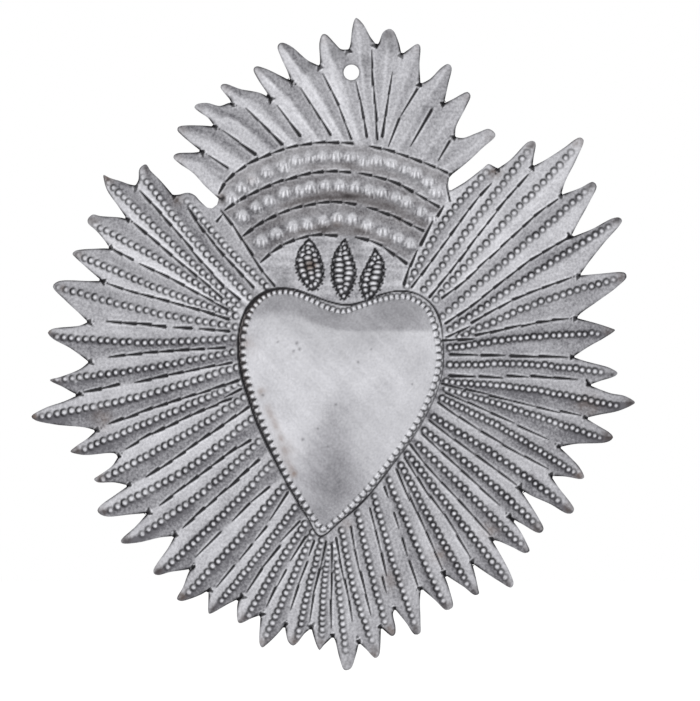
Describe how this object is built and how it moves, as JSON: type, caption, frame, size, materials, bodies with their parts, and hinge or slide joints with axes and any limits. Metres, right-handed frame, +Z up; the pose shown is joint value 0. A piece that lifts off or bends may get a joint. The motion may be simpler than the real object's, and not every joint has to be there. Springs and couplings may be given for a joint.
{
  "type": "winged heart wall ornament",
  "caption": "Embossed tin heart for hanging on a wall: a raised heart in a beaded border, fans of ridged rays as wings, and a rayed crown with bossed bands and flames.",
  "frame": {"origin": "centre of the hanging hole, on the flat back of the sheet", "axes": "+Z up as it hangs, front faces -Y, back lies on the wall at y = 0, +X to the viewer's right"},
  "size_m": [0.1802, 0.0095, 0.1956],
  "materials": {
    "chased_tin": "dull chased tinplate with a dark patina in the lines",
    "bright_tin": "rubbed bright tinplate"
  },
  "bodies": {
    "root": {"heart_dome": "bright_tin", "heart_bead_border": "chased_tin", "left_wing": "chased_tin", "right_wing": "chased_tin", "tail_ray": "chased_tin", "crown_rays": "chased_tin", "crown_band_upper": "chased_tin", "crown_band_middle": "chased_tin", "crown_band_lower": "chased_tin", "flame_field": "chased_tin", "flame_left": "chased_tin", "flame_centre": "chased_tin", "flame_right": "chased_tin"}
  },
  "joints": []
}
